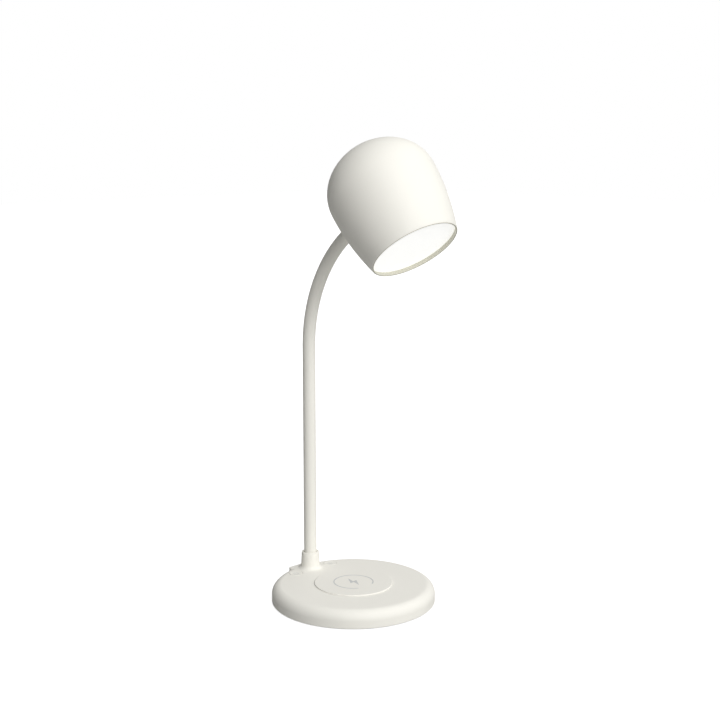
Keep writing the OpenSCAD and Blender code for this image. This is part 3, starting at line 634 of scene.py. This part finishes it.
class LAMP_OT_finish_base(bpy.types.Operator):
    """Gives the base, its pad and its keys their moulded finish"""

    bl_idname = "lamp.finish_base"
    bl_label = "Base"

    def execute(self, context):
        colours = context.scene.lamp_colours
        finish_nodes(spark_eroded_abs("spark_eroded_abs", colours.shell),
                     "base_cover", "charging_pad", "power_key", "dimmer_key")
        finish_nodes(pressed_silicone("pressed_silicone", linear("#8C8C88")), "anti_slip_pad")
        finish_nodes(filled_plastic("black_abs", linear("#26262A")), "base_plate")
        return {"FINISHED"}


class LAMP_OT_print_marks(bpy.types.Operator):
    """Prints the charging mark on the pad and the marks on the keys"""

    bl_idname = "lamp.print_marks"
    bl_label = "Printed marks"

    def execute(self, context):
        sizes = context.scene.lamp_sizes
        ink = pad_print("pad_printed_ink", context.scene.lamp_colours.ink)
        self.charging_mark(sizes, ink)
        self.power_mark(sizes, ink)
        self.brightness_mark(sizes, ink)
        return {"FINISHED"}

    def charging_mark(self, sizes, ink):
        """A ring that is open to the front, with a lightning bolt in it."""
        bm = bmesh.new()
        circle = arc_points(Vector(), sizes.pad_mark_d / 2, *CHARGING_RING)
        faces = line_faces(bm, circle, sizes.pad_mark_line)
        bolt_height = sizes.pad_mark_d * BOLT_SHARE
        bolt = [bm.verts.new((x * bolt_height, y * bolt_height, 0)) for x, y in BOLT_OUTLINE]
        faces.append(bm.faces.new(bolt))
        lay_ink(bm, faces, lambda point: PAD_TOP_Z, sizes.ink_thickness)
        new_piece("charging_mark", bm, ink, "base")

    def power_mark(self, sizes, ink):
        """An open ring with a short bar in its gap."""
        centre, height_at = dished_height("power_key")
        radius = sizes.key_mark_d / 2
        bm = bmesh.new()
        faces = line_faces(bm, arc_points(centre, radius, *POWER_RING), sizes.key_mark_line)
        bar = [centre + Vector((0, y * radius, 0)) for y in POWER_BAR]
        faces += line_faces(bm, bar, sizes.key_mark_line)
        lay_ink(bm, faces, height_at, sizes.ink_thickness)
        new_piece("power_mark", bm, ink, "power_key")

    def brightness_mark(self, sizes, ink):
        """A small ring with rays."""
        centre, height_at = dished_height("dimmer_key")
        radius = sizes.key_mark_d / 2
        bm = bmesh.new()
        circle = arc_points(centre, radius * BRIGHTNESS_RING_SHARE, *BRIGHTNESS_RING)
        faces = line_faces(bm, circle, sizes.key_mark_line, closed=True)
        for k in range(RAY_COUNT):
            angle = 2 * math.pi * k / RAY_COUNT
            ray = Vector((math.cos(angle), math.sin(angle), 0)) * radius
            faces += line_faces(bm, [centre + ray * RAY_START, centre + ray * RAY_END], sizes.key_mark_line)
        lay_ink(bm, faces, height_at, sizes.ink_thickness)
        new_piece("brightness_mark", bm, ink, "dimmer_key")


class LAMP_OT_sleeve_neck(bpy.types.Operator):
    """Draws the silicone sleeve, a piece to each link, with round ends that keep it closed in a bend"""

    bl_idname = "lamp.sleeve_neck"
    bl_label = "Neck"

    def execute(self, context):
        wall = context.scene.lamp_sizes.sleeve_wall
        silicone = extruded_silicone("extruded_silicone", context.scene.lamp_colours.sleeve)
        places = [neck_distance(p) for p in NECK_STATIONS]
        ends = [NECK_LOW.z - NECK_STATIONS[0].z, *places, places[-1] + NECK_END_LEN]
        last = len(places)
        for k, body in enumerate(NECK_BODIES):
            bm = sleeve_mesh(ends[k], ends[k + 1], wall, joint_below=k > 0, joint_above=k < last)
            piece = new_piece(f"neck_sleeve_{k}", bm, silicone, body)
            smooth(piece.data, SLEEVE_SHARP_ANGLE)
            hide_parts({0: "neck_foot", last: "neck_tip"}.get(k, body))
        return {"FINISHED"}


class LAMP_OT_smooth_shade(bpy.types.Operator):
    """Gives the shade one smooth skin, with painted shade on its lip: a darker colour on its rim and inner
    wall
    """

    bl_idname = "lamp.smooth_shade"
    bl_label = "Shade"

    def execute(self, context):
        bm = bmesh.new()
        bm.from_mesh(frame["nodes"]["shade"].data)
        bmesh.ops.remove_doubles(bm, verts=bm.verts, dist=WELD_DISTANCE)
        shell = bpy.data.materials["spark_eroded_abs"]
        piece = new_piece("shade_shell", bm, shell, "head")
        # The lip's darker second material is painted shade on its rim and on the wall inside it
        piece.data.materials.append(lip_painted_shade_abs("lip_painted_shade_abs", context.scene.lamp_colours.lip))
        for face in piece.data.polygons:
            face.material_index = int(self.is_lip(face))
        smooth(piece.data, SHADE_SHARP_ANGLE)
        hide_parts("shade")
        return {"FINISHED"}

    def is_lip(self, face):
        """True for a face of the rim, or of the wall between the rim and the diffuser."""
        out = Vector((0, -math.sin(SHADE_TILT), -math.cos(SHADE_TILT)))
        away = face.center - DIFFUSER_MIDDLE
        beyond = away.dot(out)
        across = away - beyond * out
        on_wall = face.normal.dot(across) < -LIP_WALL_FACING * across.length
        on_rim = face.normal.dot(out) > LIP_RIM_FACING
        return beyond > 0 and (on_wall or on_rim)


class LAMP_OT_finish_light(bpy.types.Operator):
    """Lights the diffuser and finishes the parts behind it"""

    bl_idname = "lamp.finish_light"
    bl_label = "Light"

    def execute(self, context):
        finish_nodes(lit_opal_acrylic("lit_opal_acrylic", context.scene.lamp_colours.light), "diffuser")
        finish_nodes(filled_plastic("white_polycarbonate", linear("#F4F5F5"), 0.35), "reflector")
        finish_nodes(filled_plastic("white_solder_mask", linear("#F0F2F4"), 0.4), "led_board")
        finish_nodes(filled_plastic("phosphor_silicone", linear("#F6DC7A"), 0.3), "leds")
        finish_nodes(worked_metal("rolled_aluminium", linear("#D8DADD"), (1, 0.04, 1)), "heat_plate")
        finish_nodes(filled_plastic("extruded_pvc", linear("#222224"), 0.45), "head_wire")
        return {"FINISHED"}


class LAMP_OT_finish_inner_parts(bpy.types.Operator):
    """Finishes the parts inside the base and at the ends of the neck"""

    bl_idname = "lamp.finish_inner_parts"
    bl_label = "Inner parts"

    def execute(self, context):
        finish_nodes(worked_metal("zinc_plated_steel", linear("#C9C9C2")),
                     "base_screws", "inner_screws", "neck_ferrule", "neck_nut", "head_ferrule", "head_washer",
                     "head_nut", "head_screws")
        finish_nodes(worked_metal("nickel_plated_steel", linear("#D0CFCB"), (1, 0.05, 1)), "power_inlet")
        finish_nodes(worked_metal("stamped_steel", linear("#8E9094")), "ballast")
        finish_nodes(worked_metal("enamelled_copper", linear("#B8703C")), "charging_coil")
        finish_nodes(filled_plastic("sintered_ferrite", linear("#2B2B2D"), 0.6), "ferrite_sheet")
        finish_nodes(filled_plastic("black_nylon", linear("#1E1E20"), 0.55), "coil_carrier", "key_switches")
        finish_nodes(filled_plastic("green_solder_mask", linear("#1E6B3A"), 0.35), "main_board")
        return {"FINISHED"}


class LAMP_PT_panel(bpy.types.Panel):
    """Lists the steps that build the lamp, in their order"""

    bl_idname = "LAMP_PT_panel"
    bl_label = "Gooseneck Desk Lamp"
    bl_space_type = "VIEW_3D"
    bl_region_type = "UI"
    bl_category = "Lamp"

    def draw(self, context):
        scene = context.scene
        for group in (scene.lamp_sizes, scene.lamp_colours, scene.lamp_studio):
            box = self.layout.box()
            for name in group.__annotations__:
                box.prop(group, name)
        for operator in OPERATORS:
            self.layout.operator(operator.bl_idname)


OPERATORS = (
    LAMP_OT_build_stage,
    LAMP_OT_finish_base,
    LAMP_OT_print_marks,
    LAMP_OT_sleeve_neck,
    LAMP_OT_smooth_shade,
    LAMP_OT_finish_light,
    LAMP_OT_finish_inner_parts,
)
CLASSES = (LampSizes, LampColours, StudioSettings, *OPERATORS, LAMP_PT_panel)


def register():
    for cls in CLASSES:
        bpy.utils.register_class(cls)
    bpy.types.Scene.lamp_sizes = PointerProperty(type=LampSizes)
    bpy.types.Scene.lamp_colours = PointerProperty(type=LampColours)
    bpy.types.Scene.lamp_studio = PointerProperty(type=StudioSettings)


def unregister():
    del bpy.types.Scene.lamp_sizes, bpy.types.Scene.lamp_colours, bpy.types.Scene.lamp_studio
    for cls in reversed(CLASSES):
        bpy.utils.unregister_class(cls)


def main():
    register()
    bpy.ops.lamp.build_stage()
    bpy.ops.lamp.finish_base()
    bpy.ops.lamp.print_marks()
    bpy.ops.lamp.sleeve_neck()
    bpy.ops.lamp.smooth_shade()
    bpy.ops.lamp.finish_light()
    bpy.ops.lamp.finish_inner_parts()


if __name__ == "__main__":
    main()
